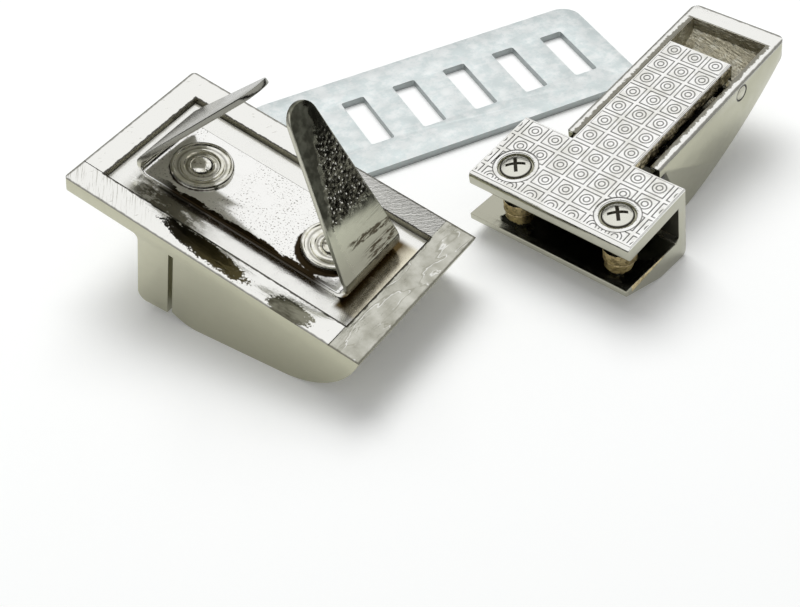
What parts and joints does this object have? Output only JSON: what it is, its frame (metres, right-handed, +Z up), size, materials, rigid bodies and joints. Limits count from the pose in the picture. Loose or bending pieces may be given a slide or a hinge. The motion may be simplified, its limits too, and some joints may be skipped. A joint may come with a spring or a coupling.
{
  "type": "purse tongue lock",
  "caption": "Bag closure set: a pronged keeper with an open channel, a slotted backing plate, and a screw-on tongue with a sprung release shell.",
  "frame": {"origin": "on the surface that the set lies on, under the middle of its bounding box", "axes": "+Z up, +X along the tongue's crossbar, +Y along the tongue's stem towards its tip"},
  "size_m": [0.0618, 0.0806, 0.0302],
  "materials": {
    "keeper_plated": "nickel-plated zinc casting",
    "strip_steel": "nickel-plated steel strip",
    "rivet_steel": "nickel-plated steel",
    "galvanised": "galvanised sheet",
    "tongue_plated": "nickel-plated zinc casting with a shallow ring pattern",
    "screw_steel": "nickel-plated steel",
    "shell_plated": "nickel-plated zinc casting, rough inside",
    "pin_steel": "plated steel",
    "spring_steel": "spring wire"
  },
  "bodies": {
    "lock_set": {"keeper_housing": "keeper_plated", "prong_strip": "strip_steel", "keeper_rivets": "rivet_steel", "backing_plate": "galvanised", "tongue_frame": "tongue_plated", "clamp_screws": "screw_steel", "return_spring": "spring_steel"},
    "release_shell": {"release_shell": "shell_plated", "pivot_pin": "pin_steel"}
  },
  "joints": [
    {"name": "shell_press", "type": "hinge", "parent": "lock_set", "child": "release_shell", "pos_m": [0.01942, 0.02578, 0.01073], "axis": [-1, 0, 0], "range_deg": [0, 4], "stiffness_Nm_per_rad": 0.1, "springref_deg": -11.46, "deforming": ["return_spring"]}
  ]
}
